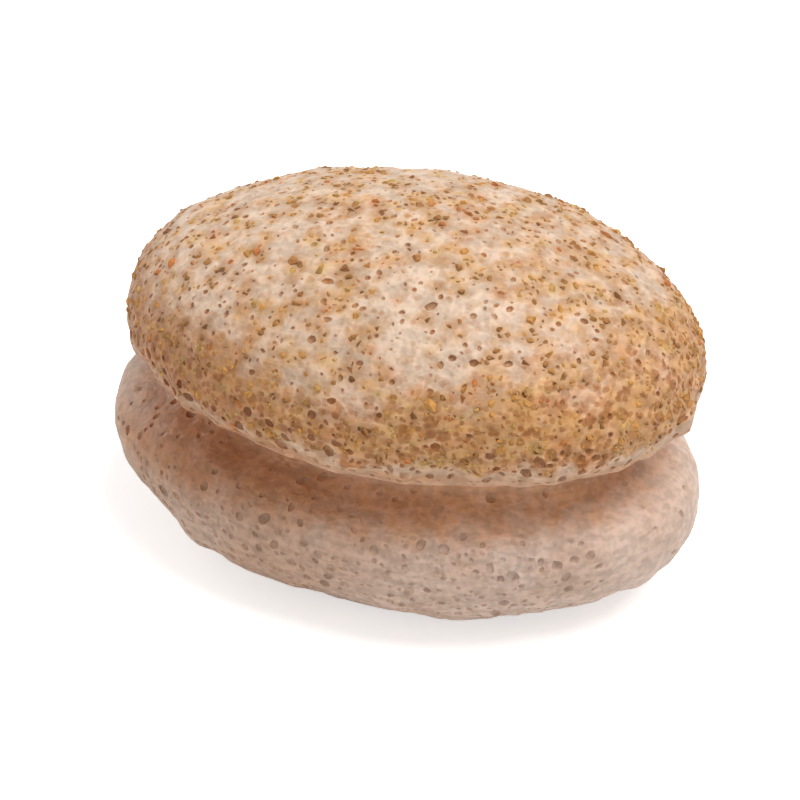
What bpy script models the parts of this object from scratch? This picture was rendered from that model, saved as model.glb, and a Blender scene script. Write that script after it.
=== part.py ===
# Konjac facial sponge, moulded in one piece: two stacked oval lobes with a waist groove between them.
# The plain lower lobe stands on its flat. The upper lobe carries crushed walnut shell for scrubbing.
# Metres, +Z up, length along X, with the origin on the floor under the middle.

import math
import random

import bmesh
import bpy
from mathutils import Matrix, Vector, noise

# Plain lower lobe
LOWER_LENGTH = 0.0940
LOWER_WIDTH = 0.0633
LOWER_BELLY_RISE = 0.0160  # from the floor to the widest line
LOWER_FULLNESS = 2.7  # 2 gives an elliptic side, more gives a fuller one
FLAT_LENGTH = 0.0430  # the flat that it stands on
SHOULDER_RISE = 0.0068  # from the widest line up to the groove

# Waist groove
GROOVE_DEPTH = 0.0110
GROOVE_HEIGHT = 0.0055  # clear height of its round floor

# Upper lobe with the walnut shell
UPPER_LENGTH = 0.0900
UPPER_WIDTH = 0.0649
UNDERSIDE_RISE = 0.0068  # from the groove up to the widest line
DOME_RISE = 0.0220
DOME_FULLNESS = 2.0
UPPER_SHIFT_X = 0.0016  # the upper lobe sits a little off the lower one
UPPER_SHIFT_Y = -0.0004

# Unevenness of the moulded gel
SWELL_DEPTH = 0.0007
SWELL_SPAN = 0.0190
LEVEL_MARGIN = 0.0050  # height over which the unevenness fades out towards the flat
DENT_RADIUS = 0.0130
DENT_DEPTH = 0.0014
LOWER_DENT = (-0.34, -0.34, 0.40)  # shares of the lobe's length, width and belly rise
UPPER_DENT = (0.26, -0.45, 1.00)

# Open cells
LOWER_PORES = 130
UPPER_PORES = 70
PORE_DIAMETER_MIN = 0.0012
PORE_DIAMETER_MAX = 0.0026
PORE_DEPTH = 0.90  # share of the radius
PORE_FLARE = 0.30  # share of the radius and depth by which a cutter goes on above the skin
PORE_SIDES = 6

# Crushed walnut shell
GRAINS = 240
GRAIN_SIZE_MIN = 0.0011
GRAIN_SIZE_MAX = 0.0021
GRAIN_FLATNESS = 0.60  # height as a share of the size, most of a grain being sunk in the gel
GRAIN_JAGGEDNESS = 0.30  # share of the radius by which the corners vary
GRAIN_TILT = math.radians(12)
WALNUT_EDGE_DROP = 0.0015  # the walnut layer ends this far under the upper lobe's widest line
CLUSTER_SPAN = 0.0140
CLUSTER_LIMITS = (-0.7, 0.5)  # crowding at which a place starts to get a grain, and always gets one

# Places
CLEAR_GEL = 0.0008  # gel left between two pores, two grains or one of each
TRIES_EACH = 80  # random places tried for each pore or grain that is wanted
FOOT_MARGIN = 0.0040  # bare height over the flat
GROOVE_MARGIN = 0.0020  # bare height over and under the groove's floor

# Fineness of the loft
SEGMENTS = 48
FLAT_RINGS = 2
SIDE_RINGS = 6
SHOULDER_RINGS = 4
GROOVE_RINGS = 4
DOME_RINGS = 9
SHOULDER_TURN = math.radians(78)  # where a shoulder's curve hands over to the groove's floor

SEED = 11

# Heights that follow from the sizes
GROOVE_LOW = LOWER_BELLY_RISE + SHOULDER_RISE
GROOVE_HIGH = GROOVE_LOW + GROOVE_HEIGHT
UPPER_BELLY = GROOVE_HIGH + UNDERSIDE_RISE
WALNUT_EDGE = UPPER_BELLY - WALNUT_EDGE_DROP


def principled(name, colour, roughness):
    material = bpy.data.materials.new(name)
    material.use_nodes = True
    shader = material.node_tree.nodes["Principled BSDF"]
    shader.inputs["Base Color"].default_value = (*colour, 1.0)
    shader.inputs["Roughness"].default_value = roughness
    shader.inputs["Metallic"].default_value = 0.0
    material.diffuse_color = (*colour, 1.0)
    return material


class Lobe:
    """An oval outline: the half length and half width of its widest line, and its middle."""

    def __init__(self, length, width, middle):
        self.half_length = length / 2
        self.half_width = width / 2
        self.middle = middle

    def ring(self, z, share=1.0, inset=0.0):
        return (
            self.half_length * share - inset,
            self.half_width * share - inset,
            self.middle,
            z,
        )


def full_curve(turn, fullness):
    """Height and reach, 0 to 1, on a superellipse."""
    return math.sin(turn) ** (2 / fullness), math.cos(turn) ** (2 / fullness)


def shoulder(lobe, belly, rise):
    """Rings from a lobe's widest line to the edge of the groove's floor. A negative rise goes down."""
    inset = GROOVE_DEPTH - GROOVE_HEIGHT / 2
    rings = []
    for step in range(SHOULDER_RINGS + 1):
        turn = SHOULDER_TURN * step / SHOULDER_RINGS
        z = belly + rise * math.sin(turn) / math.sin(SHOULDER_TURN)
        rings.append(lobe.ring(z, inset=inset * (1 - math.cos(turn)) / (1 - math.cos(SHOULDER_TURN))))
    return rings


def groove_floor(low, high):
    """Rings of the round floor between two others."""
    rings = []
    for step in range(1, GROOVE_RINGS):
        turn = math.pi * step / GROOVE_RINGS
        share = (1 - math.cos(turn)) / 2
        half_length, half_width, middle, z = (a + (b - a) * share for a, b in zip(low, high))
        deeper = GROOVE_HEIGHT / 2 * math.sin(turn)
        rings.append((half_length - deeper, half_width - deeper, middle, z))
    return rings


def sponge_rings():
    """The rings of the loft, from the flat to just under the top, and the top."""
    lower = Lobe(LOWER_LENGTH, LOWER_WIDTH, Vector((0.0, 0.0)))
    upper = Lobe(UPPER_LENGTH, UPPER_WIDTH, Vector((UPPER_SHIFT_X, UPPER_SHIFT_Y)))

    flat_share = FLAT_LENGTH / LOWER_LENGTH
    rings = [lower.ring(0.0, flat_share * step / FLAT_RINGS) for step in range(1, FLAT_RINGS)]
    foot_turn = math.acos(flat_share ** (LOWER_FULLNESS / 2))
    foot_drop = full_curve(foot_turn, LOWER_FULLNESS)[0]
    for step in range(SIDE_RINGS):
        drop, share = full_curve(foot_turn * (1 - step / SIDE_RINGS), LOWER_FULLNESS)
        rings.append(lower.ring(LOWER_BELLY_RISE * (1 - drop / foot_drop), share))

    low = shoulder(lower, LOWER_BELLY_RISE, SHOULDER_RISE)
    high = shoulder(upper, UPPER_BELLY, -UNDERSIDE_RISE)[::-1]
    rings += low + groove_floor(low[-1], high[0]) + high

    for step in range(1, DOME_RINGS):
        rise, share = full_curve(math.pi / 2 * step / DOME_RINGS, DOME_FULLNESS)
        rings.append(upper.ring(UPPER_BELLY + DOME_RISE * rise, share))
    return rings, Vector((*upper.middle, UPPER_BELLY + DOME_RISE))


def smooth_step(value):
    value = min(max(value, 0.0), 1.0)
    return value * value * (3 - 2 * value)


def uneven(bm):
    """Swells and hollows of the gel. The flat stays flat."""
    bm.normal_update()
    dents = (
        Vector(LOWER_DENT) * Vector((LOWER_LENGTH, LOWER_WIDTH, LOWER_BELLY_RISE)),
        Vector(UPPER_DENT) * Vector((UPPER_LENGTH, UPPER_WIDTH, UPPER_BELLY)),
    )
    moves = []
    for vert in bm.verts:
        push = SWELL_DEPTH * noise.noise(vert.co / SWELL_SPAN)
        for place in dents:
            near = smooth_step(1 - (vert.co - place).length / DENT_RADIUS)
            push -= DENT_DEPTH * near
        moves.append(vert.normal * push * smooth_step(vert.co.z / LEVEL_MARGIN))
    for vert, move in zip(bm.verts, moves):
        vert.co += move


def loft_body(plain_gel, walnut_gel):
    rings, top = sponge_rings()
    bm = bmesh.new()
    loops = []
    for half_length, half_width, middle, z in rings:
        loop = []
        for step in range(SEGMENTS):
            turn = math.tau * step / SEGMENTS
            x = middle.x + half_length * math.cos(turn)
            y = middle.y + half_width * math.sin(turn)
            loop.append(bm.verts.new((x, y, z)))
        loops.append(loop)
    foot = bm.verts.new((0.0, 0.0, 0.0))
    peak = bm.verts.new(top)
    for step in range(SEGMENTS):
        after = (step + 1) % SEGMENTS
        bm.faces.new((foot, loops[0][after], loops[0][step]))
        bm.faces.new((peak, loops[-1][step], loops[-1][after]))
        for low, high in zip(loops, loops[1:]):
            bm.faces.new((low[step], low[after], high[after], high[step]))
    for face in bm.faces:
        face.material_index = int(face.calc_center_median().z > WALNUT_EDGE)
    uneven(bm)
    bmesh.ops.triangulate(bm, faces=bm.faces)  # flat faces, which the Booleans need
    mesh = bpy.data.meshes.new("konjac_sponge")
    bm.to_mesh(mesh)
    bm.free()
    mesh.materials.append(plain_gel)
    mesh.materials.append(walnut_gel)
    mesh.shade_smooth()
    body = bpy.data.objects.new("konjac_sponge", mesh)
    bpy.context.collection.objects.link(body)
    return body


def skin_places(mesh, rng):
    """Endless random places on the skin, evenly spread over its area, each with its normal."""
    mesh.calc_loop_triangles()
    corners = [mesh.vertices[index].co for triangle in mesh.loop_triangles for index in triangle.vertices]
    triangles = list(zip(corners[0::3], corners[1::3], corners[2::3]))
    areas = [(b - a).cross(c - a).length for a, b, c in triangles]
    while True:
        a, b, c = rng.choices(triangles, areas)[0]
        along = math.sqrt(rng.random())
        across = rng.random()
        place = a * (1 - along) + b * along * (1 - across) + c * along * across
        yield place, (b - a).cross(c - a).normalized()


def scattered(places, count, sizes, taken, rng, suits):
    """Up to count places that suit, as (place, normal, radius), clear of each other and of those taken."""
    found = []
    for _ in range(count * TRIES_EACH):
        if len(found) == count:
            break
        place, normal = next(places)
        radius = rng.uniform(*sizes) / 2
        if not suits(place):
            continue
        if any((place - other).length < radius + reach + CLEAR_GEL for other, reach in taken):
            continue
        taken.append((place.copy(), radius))
        found.append((place, normal, radius))
    return found


def on_lower_lobe(place):
    return FOOT_MARGIN < place.z < GROOVE_LOW - GROOVE_MARGIN


def on_upper_lobe(place):
    return place.z > GROOVE_HIGH + GROOVE_MARGIN


def upright_on(place, normal, turn):
    """A frame at a place on the skin, with its +Z along the normal."""
    lean = normal.to_track_quat("Z", "Y").to_matrix().to_4x4()
    return Matrix.Translation(place) @ lean @ Matrix.Rotation(turn, 4, "Z")


def add_pore(bm, place, normal, radius, rng):
    """A pit that opens outwards and is closed a little above the skin."""
    frame = upright_on(place, normal, rng.uniform(0, math.tau))
    depth = PORE_DEPTH * radius
    reach = radius * (1 + PORE_FLARE)
    rim = []
    for step in range(PORE_SIDES):
        turn = math.tau * step / PORE_SIDES
        corner = Vector((reach * math.cos(turn), reach * math.sin(turn), depth * PORE_FLARE))
        rim.append(bm.verts.new(frame @ corner))
    bottom = bm.verts.new(frame @ Vector((0, 0, -depth)))
    for step in range(PORE_SIDES):
        bm.faces.new((bottom, rim[(step + 1) % PORE_SIDES], rim[step]))
    bm.faces.new(rim)


def add_grain(bm, place, normal, radius, rng):
    """A flat shard of shell with eight faces, half sunk in the gel."""
    frame = upright_on(place, normal, rng.uniform(0, math.tau))
    frame @= Matrix.Rotation(rng.uniform(-GRAIN_TILT, GRAIN_TILT), 4, "X")
    frame @= Matrix.Diagonal((1, 1, GRAIN_FLATNESS, 1))
    corners = []
    for direction in ((1, 0, 0), (0, 1, 0), (-1, 0, 0), (0, -1, 0), (0, 0, 1), (0, 0, -1)):
        length = radius * rng.uniform(1 - GRAIN_JAGGEDNESS, 1 + GRAIN_JAGGEDNESS)
        corners.append(bm.verts.new(frame @ (Vector(direction) * length)))
    for step in range(4):
        after = (step + 1) % 4
        bm.faces.new((corners[step], corners[after], corners[4]))
        bm.faces.new((corners[after], corners[step], corners[5]))


def helper(name, add, places, material, rng):
    """One hidden object of all the pores or all the grains, for a Boolean."""
    bm = bmesh.new()
    for place, normal, radius in places:
        add(bm, place, normal, radius, rng)
    mesh = bpy.data.meshes.new(name)
    bm.to_mesh(mesh)
    bm.free()
    mesh.materials.append(material)
    shape = bpy.data.objects.new(name, mesh)
    bpy.context.collection.objects.link(shape)
    shape.hide_render = True
    shape.display_type = "WIRE"
    return shape


def combine(body, shape, operation):
    boolean = body.modifiers.new(shape.name, "BOOLEAN")
    boolean.operation = operation
    boolean.solver = "MANIFOLD"  # EXACT leaves open edges where a pore and a grain lie on one facet
    boolean.material_mode = "TRANSFER"
    boolean.object = shape


def centre_over_origin(body, parts):
    """Moves all of it so that the finished body's box stands in the middle of the floor's origin."""
    bpy.context.view_layer.update()
    finished = body.evaluated_get(bpy.context.evaluated_depsgraph_get())
    xs = [corner[0] for corner in finished.bound_box]
    ys = [corner[1] for corner in finished.bound_box]
    for part in parts:
        part.location.x = -(min(xs) + max(xs)) / 2
        part.location.y = -(min(ys) + max(ys)) / 2


def build():
    for old in list(bpy.data.objects):
        bpy.data.objects.remove(old)
    rng = random.Random(SEED)
    plain_gel = principled("plain_gel", (0.62, 0.44, 0.34), 0.55)
    walnut_gel = principled("walnut_gel", (0.72, 0.50, 0.30), 0.55)
    pore_shade = principled("pore_shade", (0.34, 0.19, 0.12), 0.70)
    walnut_shell = principled("walnut_shell", (0.36, 0.15, 0.035), 0.45)

    body = loft_body(plain_gel, walnut_gel)
    places = skin_places(body.data, rng)
    pore_sizes = (PORE_DIAMETER_MIN, PORE_DIAMETER_MAX)
    grain_sizes = (GRAIN_SIZE_MIN, GRAIN_SIZE_MAX)
    taken = []

    def in_walnut_cluster(place):
        crowd = noise.noise(place / CLUSTER_SPAN)
        return place.z > WALNUT_EDGE and crowd > rng.uniform(*CLUSTER_LIMITS)

    pores = scattered(places, LOWER_PORES, pore_sizes, taken, rng, on_lower_lobe)
    pores += scattered(places, UPPER_PORES, pore_sizes, taken, rng, on_upper_lobe)
    grains = scattered(places, GRAINS, grain_sizes, taken, rng, in_walnut_cluster)

    grain_shapes = helper("walnut_grains", add_grain, grains, walnut_shell, rng)
    pore_shapes = helper("pore_cutters", add_pore, pores, pore_shade, rng)
    combine(body, grain_shapes, "UNION")
    combine(body, pore_shapes, "DIFFERENCE")
    centre_over_origin(body, (body, grain_shapes, pore_shapes))


build()
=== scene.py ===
import math
import random

import bpy
import numpy as np
from mathutils import Matrix, Vector, noise
from mathutils.bvhtree import BVHTree
from mathutils.kdtree import KDTree


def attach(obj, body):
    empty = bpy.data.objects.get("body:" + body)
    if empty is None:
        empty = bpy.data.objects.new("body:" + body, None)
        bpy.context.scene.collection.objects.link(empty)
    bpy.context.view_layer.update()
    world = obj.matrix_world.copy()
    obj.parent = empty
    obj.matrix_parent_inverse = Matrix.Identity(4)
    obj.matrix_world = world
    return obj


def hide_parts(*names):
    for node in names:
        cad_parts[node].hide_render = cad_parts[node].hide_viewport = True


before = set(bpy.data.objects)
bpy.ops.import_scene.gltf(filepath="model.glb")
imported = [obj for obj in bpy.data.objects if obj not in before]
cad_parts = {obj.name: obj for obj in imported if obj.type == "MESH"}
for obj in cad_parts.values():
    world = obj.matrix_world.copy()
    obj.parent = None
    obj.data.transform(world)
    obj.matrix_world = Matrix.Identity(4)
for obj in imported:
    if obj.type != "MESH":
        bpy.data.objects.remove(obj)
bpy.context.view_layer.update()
print("frame loaded")

rng = random.Random(7)


def deselectAll():
    for one in bpy.context.selected_objects:
        one.select_set(False)


def makeActive(piece):
    deselectAll()
    piece.select_set(True)
    bpy.context.view_layer.objects.active = piece


def removeObject(one):
    bpy.data.objects.remove(one, do_unlink=True)


def applyModifier(piece, kind, **settings):
    made = piece.modifiers.new(kind.lower(), kind)
    for name, value in settings.items():
        setattr(made, name, value)
    makeActive(piece)
    bpy.ops.object.modifier_apply(modifier=made.name)


def smoothShade(piece, degrees):
    makeActive(piece)
    bpy.ops.object.shade_smooth_by_angle(angle=math.radians(degrees))


def meshArrays(mesh):
    mesh.calc_loop_triangles()
    points = np.empty(len(mesh.vertices) * 3)
    mesh.vertices.foreach_get("co", points)
    corners = np.empty(len(mesh.loop_triangles) * 3, np.int64)
    mesh.loop_triangles.foreach_get("vertices", corners)
    return points.reshape(-1, 3), corners.reshape(-1, 3)


# 0 before a slope starts and 1 past its end; with a negative span it runs the other way
def slope(value, start, span):
    return np.clip((value - start) / span, 0, 1)


# The gel body: the CAD solid's own form, smoothed, with the unevenness of moulded gel. Lengths are in metres

gelBody = {
    "voxel": 0.00107,  # fineness of the skin before its cells are opened
    "smoothings": 24,
    "smoothing": 0.5,  # strength of each one
    "footFade": 0.004,  # below this height the unevenness fades out, so that the flat stays flat
    "waves": [(0.0052, 0.00042), (0.0021, 0.00016)],  # span and height of the skin's unevenness
    "dents": [(0.0050, 1.0), (0.0024, 0.45)],  # span and share of the scallops' dents
    # height, depth and spread of the scallops along the upper lobe's rim and the lower lobe's foot
    "scallops": [(0.0332, 0.0014, 0.0038), (0.0070, 0.0006, 0.0050)],
    # place, span and height of single dents and swells:
    # the rim's notch, the fuller right shoulder and the flatter left one
    "swells": [
        ((0.0250, -0.0255, 0.0326), 0.0024, -0.0012),
        ((0.0185, 0.0195, 0.0500), 0.0100, 0.0013),
        ((-0.0240, 0.0080, 0.0524), 0.0110, -0.0008),
    ],
    "spacing": 0.0024,  # wider than any two cells or grains that could touch
    "smoothAngle": 50,
    "fill": 0.9,
}


def unevenness(spot):
    rise = sum(noise.noise(spot / span) * height for span, height in gelBody["waves"])
    flat = Vector((spot.x, spot.y, 0.0))
    dents = sum(noise.noise(flat / span) * share for span, share in gelBody["dents"])
    for level, depth, spread in gelBody["scallops"]:
        rise += dents * depth * max(1.0 - abs(spot.z - level) / spread, 0.0)
    for middle, span, height in gelBody["swells"]:
        rise += height * math.exp(-((spot - Vector(middle)).length / span) ** 2)
    return rise


def gelSkin():
    node = bpy.data.objects["konjac_sponge"]
    body = bpy.data.objects.new("sponge_body", node.data.copy())
    bpy.context.collection.objects.link(body)
    makeActive(body)
    bpy.ops.object.mode_set(mode="EDIT")
    bpy.ops.mesh.select_all(action="SELECT")
    bpy.ops.mesh.remove_doubles(threshold=1e-6)
    bpy.ops.object.mode_set(mode="OBJECT")
    applyModifier(body, "REMESH", mode="VOXEL", voxel_size=gelBody["voxel"], adaptivity=0.0)
    applyModifier(body, "SMOOTH", factor=gelBody["smoothing"], iterations=gelBody["smoothings"])
    normals = [vertex.normal.copy() for vertex in body.data.vertices]
    for vertex, normal in zip(body.data.vertices, normals):
        lift = min(vertex.co.z / gelBody["footFade"], 1.0)
        vertex.co += normal * unevenness(vertex.co) * lift
    return body


# Random places on a skin, spaced from each other

class SpacedPlaces:
    triesEach = 10

    def __init__(self, mesh, spacing):
        self.points, self.faces = meshArrays(mesh)
        corner = self.points[self.faces]
        across = np.cross(corner[:, 1] - corner[:, 0], corner[:, 2] - corner[:, 0])
        self.areas = np.linalg.norm(across, axis=1) / 2
        self.normals = across / (2 * self.areas[:, None] + 1e-18)
        self.middles = corner.mean(axis=1)
        self.spacing = spacing
        self.taken = {}

    def boxOf(self, place):
        return tuple(int(math.floor(c / self.spacing)) for c in place)

    def near(self, place):
        box = self.boxOf(place)
        for x in (-1, 0, 1):
            for y in (-1, 0, 1):
                for z in (-1, 0, 1):
                    yield from self.taken.get((box[0] + x, box[1] + y, box[2] + z), ())

    def isFree(self, place, clear):
        for other, radius in self.near(place):
            apart = (place[0] - other[0]) ** 2 + (place[1] - other[1]) ** 2 + (place[2] - other[2]) ** 2
            if apart < (clear + radius) ** 2:
                return False
        return True

    # a skew above 1 draws more places near the least size, and a negative gap lets two of them overlap
    def scatter(self, count, sizes, gap, weight, seed, skew):
        draw = np.random.default_rng(seed)
        chance = self.areas * weight
        tries = count * self.triesEach
        picks = draw.choice(len(self.faces), tries, p=chance / chance.sum())
        along = np.sqrt(draw.random(tries))[:, None]
        across = draw.random(tries)[:, None]
        a, b, c = (self.points[self.faces[picks, k]] for k in range(3))
        spots = a * (1 - along) + b * along * (1 - across) + c * along * across
        small, large = sizes
        radii = (small + (large - small) * draw.random(tries) ** skew) / 2
        found = []
        for spot, pick, radius in zip(spots, picks, radii):
            if len(found) == count:
                break
            if self.isFree(spot, radius + gap):
                self.taken.setdefault(self.boxOf(spot), []).append((spot, radius))
                found.append((Vector(spot), Vector(self.normals[pick]), float(radius)))
        return found


def standing(place, normal, turn):
    upright = normal.to_track_quat("Z", "Y").to_matrix().to_4x4()
    return Matrix.Translation(place) @ upright @ Matrix.Rotation(turn, 4, "Z")


# one mesh of many copies: each frame is a pattern's number and a matrix
def copiesOf(name, patterns, frames):
    shapes = []
    for pattern in patterns:
        points, corners = meshArrays(pattern.data)
        shapes.append((np.c_[points, np.ones(len(points))], corners))
    pieces, faces, start = [], [], 0
    for index, matrix in frames:
        points, corners = shapes[index]
        pieces.append(points @ np.array(matrix).T[:, :3])
        faces.append(corners + start)
        start += len(points)
    mesh = bpy.data.meshes.new(name)
    mesh.from_pydata(np.concatenate(pieces), [], np.concatenate(faces))
    made = bpy.data.objects.new(name, mesh)
    bpy.context.collection.objects.link(made)
    return made


# Open cells: small uneven balls, cut out of the skin

openCells = {
    # sides and rings of one cell, how many are wanted, least and greatest diameter, gel left between
    # two cells, and how many of them the upper lobe gets for each one on the lower lobe
    "kinds": [
        {"sides": 9, "rings": 5, "count": 330, "sizes": (0.00130, 0.00200), "gap": 0.00018, "upper": 0.04},
        {"sides": 7, "rings": 4, "count": 1200, "sizes": (0.00080, 0.00125), "gap": 0.00013, "upper": 0.20},
        {"sides": 5, "rings": 3, "count": 900, "sizes": (0.00050, 0.00078), "gap": 0.00010, "upper": 0.55},
    ],
    "forms": 3,  # different shapes of each kind
    "ragged": 0.20,  # how far a shape's corners stray, in radii
    "proud": 0.10,  # how far its middle stands out of the skin, in radii
    "skew": 1.5,
    "seed": 20,
    "footMargin": 0.0012,  # the flat has no open cells below this height
    # where fewer show: a height, or for the ends a distance from the middle, and the span it takes
    "grooveBottom": (0.0175, 0.005),
    "grooveTop": (0.0330, -0.0025),
    "foot": (0.009, -0.004),
    "ends": (0.028, 0.012),
    "endsTop": 0.026,
    "upperLobe": (0.036, 0.003),
    "fewer": {"groove": 0.88, "ends": 0.92, "foot": 0.5},
    # length, width and depth of a cell, in radii; those above one height are cut deeper
    "lengths": (0.90, 1.40),
    "width": 0.92,
    "depths": (0.42, 0.75),
    "deeperAbove": 0.030,
    "deeper": (0.6, 1.0),
}


def cellPattern(sides, rings, form):
    deselectAll()
    bpy.ops.mesh.primitive_uv_sphere_add(segments=sides, ring_count=rings, radius=1.0)
    pattern = bpy.context.object
    bpy.ops.object.mode_set(mode="EDIT")
    bpy.ops.mesh.select_all(action="SELECT")
    bpy.ops.transform.vertex_random(offset=openCells["ragged"], seed=form)
    bpy.ops.transform.translate(value=(0, 0, openCells["proud"]))
    bpy.ops.object.mode_set(mode="OBJECT")
    return pattern


# few cells show in the groove, at the foot and at the lower lobe's two ends
def cellWeights(middles):
    heights = middles[:, 2]
    fewer = openCells["fewer"]
    inGroove = slope(heights, *openCells["grooveBottom"]) * slope(heights, *openCells["grooveTop"])
    atEnds = slope(np.abs(middles[:, 0]), *openCells["ends"]) * (heights < openCells["endsTop"])
    atFoot = slope(heights, *openCells["foot"])
    weight = (heights > openCells["footMargin"]) * (1 - fewer["groove"] * inGroove)
    return weight * (1 - fewer["ends"] * atEnds) * (1 - fewer["foot"] * atFoot)


def openTheCells(body, places):
    forms = openCells["forms"]
    onUpper = slope(places.middles[:, 2], *openCells["upperLobe"])
    allOver = cellWeights(places.middles)
    patterns, frames, cells = [], [], []
    for index, kind in enumerate(openCells["kinds"]):
        first = forms * index
        patterns += [cellPattern(kind["sides"], kind["rings"], first + form) for form in range(forms)]
        weight = allOver * (1 - (1 - kind["upper"]) * onUpper)
        seed = openCells["seed"] + index
        found = places.scatter(kind["count"], kind["sizes"], kind["gap"], weight, seed, openCells["skew"])
        for place, normal, radius in found:
            depths = openCells["deeper"] if place.z > openCells["deeperAbove"] else openCells["depths"]
            deep = rng.uniform(*depths)
            long = rng.uniform(*openCells["lengths"])
            stretch = Matrix.Diagonal((radius * long, radius * openCells["width"], radius * deep, 1))
            which = first + rng.randrange(forms)
            frames.append((which, standing(place, normal, rng.uniform(0, math.tau)) @ stretch))
        cells += found
    cutter = copiesOf("cells", patterns, frames)
    applyModifier(body, "BOOLEAN", operation="DIFFERENCE", solver="MANIFOLD", object=cutter)
    for one in [cutter, *patterns]:
        removeObject(one)
    return cells


# Crushed shell in clusters on the upper lobe: shards, each a ball cut flat on several sides

shellGrains = {
    # large and little grains of each colour, its share of the grains in cells, its own colour
    # and the colour that it stains the gel
    "kinds": [
        {"name": "amber", "large": 400, "little": 50, "inCells": 0.32,
         "colour": (0.52, 0.250, 0.070), "stain": (0.60, 0.320, 0.105)},
        {"name": "brown", "large": 430, "little": 60, "inCells": 0.38,
         "colour": (0.37, 0.170, 0.054), "stain": (0.51, 0.260, 0.095)},
        {"name": "dark", "large": 100, "little": 50, "inCells": 0.08,
         "colour": (0.24, 0.100, 0.032), "stain": (0.43, 0.205, 0.075)},
        {"name": "gold", "large": 120, "little": 25, "inCells": 0.12,
         "colour": (0.54, 0.310, 0.100), "stain": (0.62, 0.378, 0.146)},
        {"name": "rust", "large": 110, "little": 20, "inCells": 0.10,
         "colour": (0.46, 0.165, 0.045), "stain": (0.55, 0.240, 0.085)},
    ],
    # least and greatest size of large and little grains, how far two may overlap, and their seed
    "groups": [
        ("large", (0.00080, 0.00185), 0.00010, 50),
        ("little", (0.00045, 0.00080), 0.00005, 60),
    ],
    "skew": 1.4,
    "sunk": (0.25, 0.65),  # how deep a grain sits, in half sizes
    "lean": 0.35,  # spread of the grains' tilt, in radians
    "form": [(0.9, 1.25), (0.7, 0.95), (0.5, 0.8)],  # length, width and height of a grain of size 1
    "cuts": (3, 4, 4, 5, 5, 6),  # flat sides of each shard
    "ball": 0.62,  # the shards' ball, where its cuts lie, and how near two corners merge
    "cutsAt": (0.26, 0.42),
    "merge": 0.10,
    "smoothAngle": 25,
}

shellLayer = {
    "edge": 0.0350,  # the walnut layer starts at this height
    "edgeWander": 0.0016,
    "edgeSpan": 0.009,
    "clusterSpan": 0.0100,
    "clusterStart": (27.7, 16.3, 21.7),
    "fineSpan": 0.30,  # of the small clusters, as a share of the wide ones' span
    "settled": (0.040, 0.008),  # more of it lies towards the rim, below this slope
    "atRight": (0.010, 0.012),  # and most of all at the right
    # how much each of these counts for in the crowding of the grains, and its limits
    "base": 0.38,
    "low": 0.38,
    "right": 0.55,
    "wide": 0.72,
    "fine": 0.95,
    "least": 0.035,
    "most": 2.2,
}

# grains that sit in open cells: their share of the cells, the cells' least height over the layer's edge
# and greatest radius, the grain's size over that radius, and how deep it sits
cellGrains = {"share": 0.26, "margin": 0.0005, "largest": 0.00068, "size": 2.15, "sunk": 0.20}

clumps = {
    "share": 0.42,  # of the grains have smaller ones beside them
    "largerThan": 0.00085,
    "counts": (1, 2, 2, 3),
    "sizes": (0.55, 0.90),  # of the smaller ones, as a share of the grain beside them
    "apart": 0.42,  # from middle to middle, as a share of the two sizes' sum
    "turns": (0.9, 1.8),  # angle from one to the next, in radians
    "sameKind": 0.6,
    "commonKinds": 2,  # the others are of the first kinds in the list
    "sunk": (0.15, 0.30),
}


def shardPattern(cuts):
    deselectAll()
    bpy.ops.mesh.primitive_ico_sphere_add(subdivisions=1, radius=shellGrains["ball"])
    pattern = bpy.context.object
    bpy.ops.object.mode_set(mode="EDIT")
    for number in range(cuts):
        bpy.ops.mesh.select_all(action="SELECT")
        way = Vector([rng.uniform(-1, 1) for axis in range(3)]).normalized()
        middle = way * rng.uniform(*shellGrains["cutsAt"])
        bpy.ops.mesh.bisect(plane_co=middle, plane_no=way, use_fill=True, clear_outer=True)
    bpy.ops.mesh.select_all(action="SELECT")
    bpy.ops.mesh.remove_doubles(threshold=shellGrains["merge"])
    bpy.ops.mesh.select_all(action="SELECT")
    bpy.ops.mesh.normals_make_consistent(inside=False)
    bpy.ops.object.mode_set(mode="OBJECT")
    return pattern


def crowding(spot):
    return noise.noise(Vector(spot) / shellLayer["clusterSpan"] + Vector(shellLayer["clusterStart"]))


def clusterWeight(spot):
    wide = crowding(spot) * shellLayer["wide"]
    fine = noise.noise(Vector(spot) / (shellLayer["fineSpan"] * shellLayer["clusterSpan"]))
    low = 1 - slope(spot[2], *shellLayer["settled"])
    right = low * slope(spot[0], *shellLayer["atRight"])
    weight = shellLayer["base"] + shellLayer["low"] * low + shellLayer["right"] * right
    weight = weight + wide + shellLayer["fine"] * fine
    return min(max(weight, shellLayer["least"]), shellLayer["most"])


def layerEdge(spot):
    flat = Vector((spot[0], spot[1], 0.0))
    return shellLayer["edge"] + noise.noise(flat / shellLayer["edgeSpan"]) * shellLayer["edgeWander"]


def grainsInCells(cells):
    grains = []
    shares = [kind["inCells"] for kind in shellGrains["kinds"]]
    inLayer = [one for one in cells if one[0].z > layerEdge(one[0]) + cellGrains["margin"]]
    chances = [clusterWeight(one[0]) for one in inLayer]
    scale = cellGrains["share"] * len(inLayer) / sum(chances)
    for (place, normal, radius), chance in zip(inLayer, chances):
        if rng.random() < chance * scale and radius < cellGrains["largest"]:
            kind = rng.choices(range(len(shares)), shares)[0]
            sunk = normal * cellGrains["sunk"] * radius
            grains.append((kind, place - sunk, normal, cellGrains["size"] * radius))
    return grains


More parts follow.
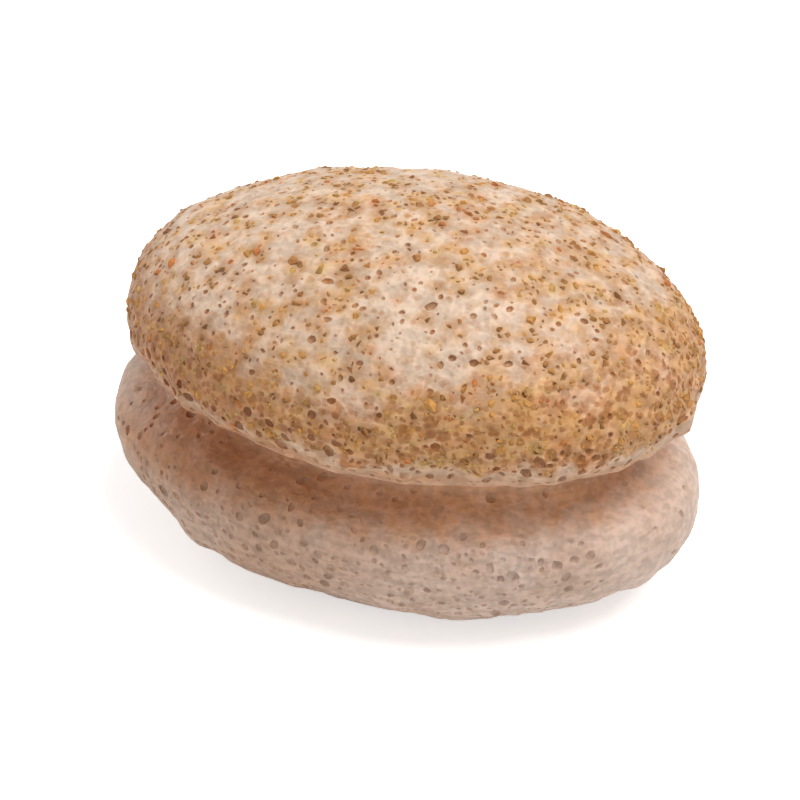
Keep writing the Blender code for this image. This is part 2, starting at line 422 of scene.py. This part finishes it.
def grainsOnSkin(places):
    grains = []
    weight = np.zeros(len(places.areas))
    for index, spot in enumerate(places.middles):
        if spot[2] > layerEdge(spot):
            weight[index] = clusterWeight(spot)
    for number, kind in enumerate(shellGrains["kinds"]):
        for group, sizes, overlap, seed in shellGrains["groups"]:
            found = places.scatter(kind[group], sizes, -overlap, weight, seed + number, shellGrains["skew"])
            for place, normal, radius in found:
                sunk = normal * rng.uniform(*shellGrains["sunk"]) * radius
                grains.append((number, place - sunk, normal, 2 * radius))
    return grains


# smaller grains that touch a larger one and make a clump with it
def crumbsBeside(grains):
    crumbs = []
    for kind, place, normal, size in grains:
        if size < clumps["largerThan"] or rng.random() > clumps["share"]:
            continue
        turn = rng.uniform(0, math.tau)
        for number in range(rng.choice(clumps["counts"])):
            little = size * rng.uniform(*clumps["sizes"])
            beside = standing(place, normal, turn) @ Vector(((size + little) * clumps["apart"], 0, 0))
            spot, facing = skinTree.find_nearest(beside)[:2]
            facing = facing if facing.dot(normal) > 0 else -facing
            own = kind if rng.random() < clumps["sameKind"] else rng.randrange(clumps["commonKinds"])
            crumbs.append((own, spot - facing * rng.uniform(*clumps["sunk"]) * little, facing, little))
            turn += rng.uniform(*clumps["turns"])
    return crumbs


# one piece for each colour of shell
def shellPieces(grains):
    shards = [shardPattern(cuts) for cuts in shellGrains["cuts"]]
    pieces = []
    for number, kind in enumerate(shellGrains["kinds"]):
        frames = []
        for which, place, normal, size in grains:
            if which != number:
                continue
            tilt = rng.gauss(0, shellGrains["lean"])
            lean = Matrix.Rotation(tilt, 4, (rng.uniform(-1, 1), rng.uniform(-1, 1), 0))
            form = Matrix.Diagonal([size * rng.uniform(*limits) for limits in shellGrains["form"]] + [1])
            matrix = standing(place, normal, rng.uniform(0, math.tau)) @ lean @ form
            frames.append((rng.randrange(len(shards)), matrix))
        pieces.append(copiesOf("shell_grains_" + kind["name"], shards, frames))
    for one in shards:
        removeObject(one)
    return pieces


body = gelSkin()
print("gel skin", len(body.data.polygons))
skinTree = BVHTree.FromPolygons([v.co for v in body.data.vertices], [p.vertices for p in body.data.polygons])
places = SpacedPlaces(body.data, gelBody["spacing"])
cells = openTheCells(body, places)
print("cells opened", len(cells), sum(len(p.vertices) - 2 for p in body.data.polygons))

grains = grainsInCells(cells) + grainsOnSkin(places)
grains += crumbsBeside(grains)
grainPieces = shellPieces(grains)
print("shell grains", len(grains), sum(len(p.data.polygons) for p in grainPieces))


# What the gel's material reads: how deep a point lies in a cell, for the painted shade inside the cells, how
# crowded the shell is there, and how grains stain the gel near them

gelPaint = {
    "fullDepth": 0.00045,  # a point this deep counts as a cell's floor
    "evenCrowd": 0.5,
    "nearest": 4,  # grains that can stain one point
    "halo": 0.00120,  # how far a grain stains the gel
    "fullSize": 0.0009,  # of a grain that stains it in full
    "mostStain": 1.3,
    "noStain": (0.5, 0.3, 0.12),  # where no grain is near
}


def depthAt(spot):
    return min((skinTree.find_nearest(spot)[0] - spot).length / gelPaint["fullDepth"], 1.0)


def stainAt(spot, grainTree):
    total, colour = 0.0, np.zeros(3)
    for place, index, distance in grainTree.find_n(spot, gelPaint["nearest"]):
        kind, size = grains[index][0], grains[index][3]
        fade = max(0.0, 1 - max(distance - size / 2, 0.0) / gelPaint["halo"]) ** 2
        share = fade * min(size / gelPaint["fullSize"], gelPaint["mostStain"])
        total += share
        colour += share * np.array(shellGrains["kinds"][kind]["stain"])
    return min(total, 1.0), colour / total if total > 1e-6 else gelPaint["noStain"]


def paintBody(body):
    mesh = body.data
    grainTree = KDTree(len(grains))
    for index, grain in enumerate(grains):
        grainTree.insert(grain[1], index)
    grainTree.balance()
    depths, crowds, stains, tints = [], [], [], []
    for vertex in mesh.vertices:
        depths.append(depthAt(vertex.co))
        crowds.append(min(max(gelPaint["evenCrowd"] + crowding(vertex.co), 0.0), 1.0))
        stain, tint = stainAt(vertex.co, grainTree)
        stains.append(stain)
        tints += [*tint, 1.0]
    mesh.attributes.new("cellDepth", "FLOAT", "POINT").data.foreach_set("value", depths)
    mesh.attributes.new("stain", "FLOAT", "POINT").data.foreach_set("value", stains)
    mesh.attributes.new("crowd", "FLOAT", "POINT").data.foreach_set("value", crowds)
    mesh.attributes.new("stainTint", "FLOAT_COLOR", "POINT").data.foreach_set("color", tints)


paintBody(body)
print("gel painted")


# Shader maths in plain expressions

class Shade:
    def __init__(self, tree, socket):
        self.tree = tree
        self.socket = socket

    def node(self, kind, settings=None, inputs=None, out=0):
        made = self.tree.nodes.new("ShaderNode" + kind)
        for name, value in (settings or {}).items():
            setattr(made, name, value)
        for name, value in (inputs or {}).items():
            if isinstance(value, Shade):
                self.tree.links.new(value.socket, made.inputs[name])
            else:
                made.inputs[name].default_value = value
        return Shade(self.tree, made.outputs[out])

    def outputs(self, *names):
        return [Shade(self.tree, self.socket.node.outputs[name]) for name in names]

    def maths(self, operation, first, second=0.0):
        return self.node("Math", {"operation": operation}, {0: first, 1: second})

    def __add__(self, other):
        return self.maths("ADD", self, other)

    def __radd__(self, other):
        return self.maths("ADD", other, self)

    def __sub__(self, other):
        return self.maths("SUBTRACT", self, other)

    def __rsub__(self, other):
        return self.maths("SUBTRACT", other, self)

    def __mul__(self, other):
        return self.maths("MULTIPLY", self, other)

    def __rmul__(self, other):
        return self.maths("MULTIPLY", other, self)

    def __truediv__(self, other):
        return self.maths("DIVIDE", self, other)

    def clamped(self):
        return self.node("Clamp", {}, {0: self})

    def between(self, low, high):
        return self.node("MapRange", {"interpolation_type": "SMOOTHSTEP"}, {0: self, 1: low, 2: high})

    def mixed(self, first, second, factor, blend="MIX"):
        first = (*first, 1.0) if isinstance(first, tuple) else first
        second = (*second, 1.0) if isinstance(second, tuple) else second
        settings = {"data_type": "RGBA", "blend_type": blend}
        return self.node("Mix", settings, {0: factor, 6: first, 7: second}, 2)


def newMaterial(name, roughness, subsurface=0.0, radius=(1, 0.5, 0.3), reach=0.002, specular=0.5):
    material = bpy.data.materials.new(name)
    material.use_nodes = True
    shader = material.node_tree.nodes["Principled BSDF"]
    shader.inputs["Roughness"].default_value = roughness
    shader.inputs["Subsurface Weight"].default_value = subsurface
    shader.inputs["Subsurface Radius"].default_value = radius
    shader.inputs["Subsurface Scale"].default_value = reach
    shader.inputs["Specular IOR Level"].default_value = specular
    shade = Shade(material.node_tree, None)
    return material, shader, shade


gelLook = {
    # the plain gel, and the paler tone it takes at the right, which is painted light
    "plain": (0.53, 0.345, 0.245),
    "pale": (0.65, 0.500, 0.420),
    "strip": (0.56, 0.298, 0.148),
    "walnut": (0.655, 0.485, 0.365),
    "cream": (0.66, 0.510, 0.392),
    "band": (0.48, 0.195, 0.058),
    "bandWalls": (0.63, 0.362, 0.200),
    # painted shade that darkens the left side
    "paintedShadeLeft": (0.83, 0.73, 0.65),
    "speckPale": (0.59, 0.310, 0.090),
    "speckDeep": (0.42, 0.185, 0.052),
    # painted shade in the groove, lighter at its right end
    "groove": (0.57, 0.280, 0.130),
    "grooveShadeRight": (0.68, 0.370, 0.190),
    # painted shade inside the cells
    "cellShadePlain": (0.40, 0.250, 0.172),
    "cellShadeWalnut": (0.44, 0.193, 0.060),
    "cellShadeBand": (0.33, 0.122, 0.031),
    # the gel fibres' darkest and palest tone; the palest also stands in for small painted highlights
    "mottleDeep": (0.83, 0.815, 0.80),
    "mottleFibreAndGlint": (1.115, 1.115, 1.115),
}

# how fine each pattern in the gel is, in waves or cells to the metre
gelPatterns = {
    "wobble": 95.0,
    "patches": 60.0,
    "threads": 420.0,
    "fine": 950.0,
    "columns": 330.0,
    "warp": 800.0,
    "wideCells": 520.0,
    "narrowCells": 1050.0,
    "specks": 500.0,
}

# where one look of the gel passes into the next: two heights, or two places from left to right
gelZones = {
    "strip": (0.0300, 0.0330),
    "bandBottom": (0.0338, 0.0362),
    "bandTop": (0.0385, 0.0470),
    "bandHigherRight": (0.0, 0.035),
    "bandFainterRight": (0.034, 0.046),
    # where the painted shade in the groove begins and ends
    "grooveBottom": (0.0170, 0.0222),
    "grooveTop": (0.0285, 0.0325),
    "grooveShadeLeft": (-0.046, -0.034),
    "grooveShadeRight": (0.036, 0.047),
    "grooveShadeTint": (0.0, 0.030),
    "calmBottom": (0.0180, 0.0225),
    "calmTop": (0.0300, 0.0330),
    "calmEnds": (0.030, 0.042),
    # where the painted shade on the left side lies
    "leftShadeBottom": (0.010, 0.020),
    "leftShadeTop": (0.042, 0.051),
    "leftShadeRightEdge": (-0.022, 0.004),
    "leftShadeUpperLobe": (0.026, 0.031),
    "leftShadeFarLeft": (-0.042, -0.033),
}

# where a pattern turns from one tone into the other
gelEdges = {
    "patches": (0.40, 0.66),
    "buriedCell": (0.36, 0.58),
    "openCell": (0.0, 0.5),
    "speck": (0.12, 0.46),
    "speckChosen": (0.45, 0.62),
    "columns": (0.35, 0.65),
    "mottle": (0.36, 0.64),
}

gelWander = {
    # how far the edges of the walnut layer, its band and the groove's painted shade stray up and down
    "layer": 0.005,
    "band": 0.010,
    "shadeEdgeStreaks": 0.005,
    "layerFade": 0.0035,  # the layer comes in over this height
    "bandHigher": 0.004,  # the band reaches this much higher at the right
    "grooveShadeTilt": 0.06,  # the painted shade's lower edge rises this much for each metre to the right
    "paintedLightSpan": 0.09,  # the plain gel gets paler from left to right over this length: painted light, as the lamps light the right end more
    "bend": 0.0008,  # how far the buried cells' walls stray
}

# how strongly each look shows, and how much of it is lost or added where a name says so
gelStrength = {
    "wideWalls": 0.8,
    "narrowWalls": 0.7,
    "band": 0.92,
    "bandLostRight": 0.26,
    "specks": 0.15,
    "specksAddedInCrowd": 0.85,
    # how strongly the painted shade in the groove shows
    "groove": 0.66,
    "grooveShadeAddedByColumns": 0.18,
    "grooveShadeLostRight": 0.8,
    "stain": 0.66,
    # how strongly the painted shade inside open cells shows
    "openCells": 0.22,
    "openAddedInLayer": 0.50,
    "buriedCells": 0.26,
    "buriedAddedInBand": 1.5,
    "buriedLostInGroove": 0.85,
    "buriedLostAtEnds": 0.75,
    "cellShadeBand": 0.85,
    # how strongly the painted shade on the left side shows at the far left end
    "leftShadeFarLeft": 0.8,
}


def gelMaterial():
    material, shader, shade = newMaterial(
        "konjac_gel", roughness=0.42, subsurface=0.45, radius=(1.0, 0.55, 0.35), reach=0.0026, specular=0.35)
    tree = material.node_tree
    strong = gelStrength
    place = shade.node("TexCoord", out=3)
    x, z = shade.node("SeparateXYZ", {}, {0: place}).outputs(0, 2)

    def noiseOf(pattern, detail=2.0, vector=place):
        return shade.node("TexNoise", {}, {"Vector": vector, "Scale": gelPatterns[pattern], "Detail": detail})

    def stretched(factors):
        return shade.node("Mapping", {}, {"Vector": place, "Scale": factors})

    def within(value, zone):
        return value.between(*gelZones[zone])

    def cutAt(value, edge):
        return value.between(*gelEdges[edge])

    def painted(name, out=2):
        return shade.node("Attribute", {"attribute_name": name}, {}, out)

    wobble = noiseOf("wobble")
    patches = cutAt(noiseOf("patches", 1.5), "patches")
    threads = noiseOf("threads", 2.0, stretched((0.8, 0.8, 2.0)))
    fine = noiseOf("fine", 1.0)
    columns = noiseOf("columns", 1.0, stretched((1.0, 1.0, 0.12)))
    warp = noiseOf("warp", 1.0).outputs(1)[0]
    bend = (gelWander["bend"],) * 3
    bent = shade.node("VectorMath", {"operation": "MULTIPLY_ADD"}, {0: warp, 1: bend, 2: place})

    def cellsOf(pattern):
        return shade.node("TexVoronoi", {}, {"Vector": bent, "Scale": gelPatterns[pattern]}).outputs(0, 1)

    # cells just under the skin show through it as soft darker spots with pale walls between them
    def buried(pattern, share):
        distance, drawn = cellsOf(pattern)
        lucky = shade.node("SeparateColor", {}, {0: drawn}).between(1 - share - 0.1, 1 - share + 0.1)
        inside = 1 - cutAt(distance, "buriedCell")
        return inside, inside * lucky

    wideAll, wide = buried("wideCells", 0.40)
    narrowAll, narrow = buried("narrowCells", 0.50)
    walls = (1 - wideAll * strong["wideWalls"]) * (1 - narrowAll * strong["narrowWalls"])

    # the layer that holds shell, and the richer band of it along the rim
    edge = shellLayer["edge"]
    layer = (z + (wobble - 0.5) * gelWander["layer"]).between(edge - gelWander["layerFade"], edge)
    crowd = painted("crowd")
    settled = z + (wobble - 0.5) * gelWander["band"]
    bandEnd = within(settled - within(x, "bandHigherRight") * gelWander["bandHigher"], "bandTop")
    band = within(settled, "bandBottom") * (1 - bandEnd)
    banded = shade.mixed(gelLook["band"], gelLook["bandWalls"], walls)
    walnut = shade.mixed(gelLook["walnut"], gelLook["cream"], (patches * 0.55 + (1 - crowd) * 0.50).clamped())
    bandShows = strong["band"] - within(x, "bandFainterRight") * strong["bandLostRight"]
    walnut = shade.mixed(walnut, banded, band * bandShows)

    # the gel below it, paler to the right: painted light, as the lamps light that end more, with random
    # patches of tone
    paler = (x / gelWander["paintedLightSpan"] + 0.45 + (patches - 0.5) * 0.5).clamped()
    plain = shade.mixed(gelLook["plain"], gelLook["pale"], paler)
    plain = shade.mixed(plain, gelLook["strip"], within(z, "strip"))
    colour = shade.mixed(plain, walnut, layer)

    # soft spots of shell that lie deeper in the walnut layer
    distance, drawn = cellsOf("specks")
    chosen, shadeOf = shade.node("SeparateColor", {}, {0: drawn}).outputs(0, 1)
    speck = (1 - cutAt(distance, "speck")) * cutAt(chosen, "speckChosen")
    speckTint = shade.mixed(gelLook["speckPale"], gelLook["speckDeep"], shadeOf)
    specksShow = crowd * strong["specksAddedInCrowd"] + strong["specks"]
    colour = shade.mixed(colour, speckTint, speck * layer * specksShow)

    # painted shade: the groove under the upper lobe is darkened to a warm brown, lighter and fainter at the
    # right, with an uneven, streaked lower edge
    shadeEdgeStreaks = (columns - 0.5) * gelWander["shadeEdgeStreaks"]
    groove = within(z - x * gelWander["grooveShadeTilt"] + shadeEdgeStreaks, "grooveBottom") * (1 - within(z, "grooveTop"))
    groove = groove * (1 - within(x, "grooveShadeRight") * strong["grooveShadeLostRight"]) * within(x, "grooveShadeLeft")
    grooveShadeTint = shade.mixed(gelLook["groove"], gelLook["grooveShadeRight"], within(x, "grooveShadeTint"))
    grooveShadeShows = strong["groove"] + cutAt(columns, "columns") * strong["grooveShadeAddedByColumns"]
    colour = shade.mixed(colour, grooveShadeTint, groove * grooveShadeShows)

    # grains stain the gel beside them
    colour = shade.mixed(colour, painted("stainTint", 0), painted("stain") * strong["stain"])

    # painted shade: open cells are darkened inside, the more the deeper a point lies; buried cells show as
    # darker spots of the same colour, faint in the groove and at the ends
    deep = shade.mixed(gelLook["cellShadePlain"], gelLook["cellShadeWalnut"], layer)
    deep = shade.mixed(deep, gelLook["cellShadeBand"], band * layer * strong["cellShadeBand"])
    depth = cutAt(painted("cellDepth"), "openCell")
    calm = within(z, "calmBottom") * (1 - within(z, "calmTop"))
    ends = within(shade.maths("ABSOLUTE", x), "calmEnds") * (1 - layer)
    seen = (1 - calm * strong["buriedLostInGroove"]) * (1 - ends * strong["buriedLostAtEnds"])
    buriedCells = (wide * strong["buriedCells"] + narrow * strong["buriedCells"]) * seen
    buriedCells = buriedCells * (1 + band * layer * strong["buriedAddedInBand"])
    openShow = depth * (strong["openCells"] + layer * strong["openAddedInLayer"])
    colour = shade.mixed(colour, deep, (openShow + buriedCells).clamped())

    # painted shade: the left side, which the lamps light less, is darkened on the upper lobe's lower part
    # and, at the far left end, lower down as well
    left = (1 - within(x, "leftShadeRightEdge")) * within(z, "leftShadeBottom") * (1 - within(z, "leftShadeTop"))
    farLeft = within(x, "leftShadeFarLeft") * strong["leftShadeFarLeft"]
    left = left * shade.maths("MAXIMUM", within(z, "leftShadeUpperLobe"), farLeft)
    colour = shade.mixed(colour, gelLook["paintedShadeLeft"], left, "MULTIPLY")
    # the gel's fibres mottle its colour, and their palest threads are small painted highlights as well
    mottled = cutAt(threads * 0.6 + fine * 0.4, "mottle")
    mottle = shade.mixed(gelLook["mottleDeep"], gelLook["mottleFibreAndGlint"], mottled)
    colour = shade.mixed(colour, mottle, 1.0, "MULTIPLY")
    tree.links.new(colour.socket, shader.inputs["Base Color"])

    height = threads * 0.8 + fine * 0.35
    bump = shade.node("Bump", {}, {"Height": height, "Strength": 0.75, "Distance": 0.00055})
    tree.links.new(bump.socket, shader.inputs["Normal"])
    tree.links.new((0.34 + threads * 0.20).socket, shader.inputs["Roughness"])
    return material


shellLook = {
    "fibre": 1500.0,  # fineness of its two patterns
    "broad": 520.0,
    "contrast": (0.34, 0.66),
    "dark": 0.60,  # the darkest and palest tone of a grain, over its own colour
    "pale": 1.20,
}


def shellMaterial(kind):
    material, shader, shade = newMaterial(
        "walnut_shell_" + kind["name"], roughness=0.62, subsurface=0.20, radius=(1.0, 0.5, 0.25),
        reach=0.0012, specular=0.2)
    tree = material.node_tree
    place = shade.node("TexCoord", out=3)
    fibre = shade.node("TexNoise", {}, {"Vector": place, "Scale": shellLook["fibre"], "Detail": 2.0})
    broad = shade.node("TexNoise", {}, {"Vector": place, "Scale": shellLook["broad"], "Detail": 1.0})
    dark = tuple(shellLook["dark"] * c for c in kind["colour"])
    pale = tuple(shellLook["pale"] * c for c in kind["colour"])
    colour = shade.mixed(dark, pale, (fibre * 0.4 + broad * 0.6).between(*shellLook["contrast"]))
    tree.links.new(colour.socket, shader.inputs["Base Color"])
    bump = shade.node("Bump", {}, {"Height": fibre, "Strength": 0.4, "Distance": 0.0001})
    tree.links.new(bump.socket, shader.inputs["Normal"])
    return material


def finishPiece(piece, material, degrees):
    piece.data.materials.clear()
    piece.data.materials.append(material)
    for face in piece.data.polygons:
        face.material_index = 0
    smoothShade(piece, degrees)
    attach(piece, "root")


finishPiece(body, gelMaterial(), gelBody["smoothAngle"])
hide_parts("konjac_sponge")
for piece, kind in zip(grainPieces, shellGrains["kinds"]):
    finishPiece(piece, shellMaterial(kind), shellGrains["smoothAngle"])
print("pieces finished")


# Studio: pale floor, soft lamps, and the camera where the photograph was taken from

lookFrom = {
    "azimuth": 22.15,
    "elevation": 34.25,
    "roll": 0.96,
    "distance": 0.450,
    "lens": 134.5,
    "sensor": 36.0,
    "nearest": 0.01,
    "middle": (0.0, 0.0, 0.025),
    "aimRight": -0.00006,  # shifts of the aim across and up the picture
    "aimUp": -0.00118,
}

light = {
    # place, size and strength of each soft lamp, all aimed at the sponge
    "key": {"place": (0.32, 0.04, 0.78), "size": 0.62, "watts": 6.35, "colour": (1.0, 0.98, 0.95)},
    "fill": {"place": (-0.30, -0.70, 0.42), "size": 0.60, "watts": 1.1, "colour": (1.0, 0.97, 0.94)},
    "side": {"place": (-0.65, 0.22, 0.26), "size": 0.40, "watts": 1.05, "colour": (1.0, 0.98, 0.96)},
    "skyStrength": 0.33,
}

floorLook = {
    "size": 6.0,
    "colour": (0.90, 0.90, 0.90, 1.0),
    "lift": 0.56,  # how far the floor near the sponge is lifted towards white
    "white": (0.15, 0.60),  # and it gets quite white between these distances
}


def softLamp(name, facts):
    lamp = bpy.data.lights.new(name, "AREA")
    lamp.shape = "DISK"
    lamp.size = facts["size"]
    lamp.energy = facts["watts"]
    lamp.color = facts["colour"]
    made = bpy.data.objects.new(name, lamp)
    made.location = facts["place"]
    made.rotation_euler = (Vector(lookFrom["middle"]) - made.location).to_track_quat("-Z", "Y").to_euler()
    bpy.context.collection.objects.link(made)


def paleFloor():
    deselectAll()
    bpy.ops.mesh.primitive_plane_add(size=floorLook["size"], location=(0, 0, 0))
    floor = bpy.context.object
    floor.name = "floor"
    material, shader, shade = newMaterial("pale_floor", roughness=0.9)
    shader.inputs["Base Color"].default_value = floorLook["colour"]
    toCamera = shade.node("LightPath")
    place = shade.node("TexCoord", out=3)
    away = shade.node("VectorMath", {"operation": "LENGTH"}, {0: place}, 1).between(*floorLook["white"])
    lift = toCamera * (away * (1 - floorLook["lift"]) + floorLook["lift"])
    glow = shade.mixed((0.0, 0.0, 0.0), (1.0, 1.0, 1.0), lift)
    material.node_tree.links.new(glow.socket, shader.inputs["Emission Color"])
    shader.inputs["Emission Strength"].default_value = 1.0
    floor.data.materials.append(material)


def paleWorld():
    world = bpy.data.worlds.new("studio")
    bpy.context.scene.world = world
    world.use_nodes = True
    tree = world.node_tree
    rays = Shade(tree, None).node("LightPath")
    toCamera, glossy, through = rays.outputs("Is Camera Ray", "Is Glossy Ray", "Is Transmission Ray")
    dim = (light["skyStrength"],) * 3
    colour = rays.mixed(dim, (1.0, 1.0, 1.0), (toCamera + glossy + through).clamped())
    tree.links.new(colour.socket, tree.nodes["Background"].inputs["Color"])


def photographCamera():
    azimuth, elevation = math.radians(lookFrom["azimuth"]), math.radians(lookFrom["elevation"])
    level = math.cos(elevation)
    back = Vector((math.sin(azimuth) * level, -math.cos(azimuth) * level, math.sin(elevation)))
    right = Vector((math.cos(azimuth), math.sin(azimuth), 0.0))
    up = back.cross(right)
    aim = Vector(lookFrom["middle"]) + right * lookFrom["aimRight"] + up * lookFrom["aimUp"]
    data = bpy.data.cameras.new("camera")
    data.lens = lookFrom["lens"]
    data.sensor_width = lookFrom["sensor"]
    data.clip_start = lookFrom["nearest"]
    camera = bpy.data.objects.new("camera", data)
    camera.location = aim + back * lookFrom["distance"]
    turn = Matrix.Rotation(math.radians(lookFrom["roll"]), 4, back)
    camera.rotation_euler = (turn @ (-back).to_track_quat("-Z", "Y").to_matrix().to_4x4()).to_euler()
    bpy.context.collection.objects.link(camera)
    bpy.context.scene.camera = camera


paleFloor()
paleWorld()
for name in ("key", "fill", "side"):
    softLamp(name, light[name])
photographCamera()
bpy.context.scene.view_settings.view_transform = "Standard"
print("studio ready")
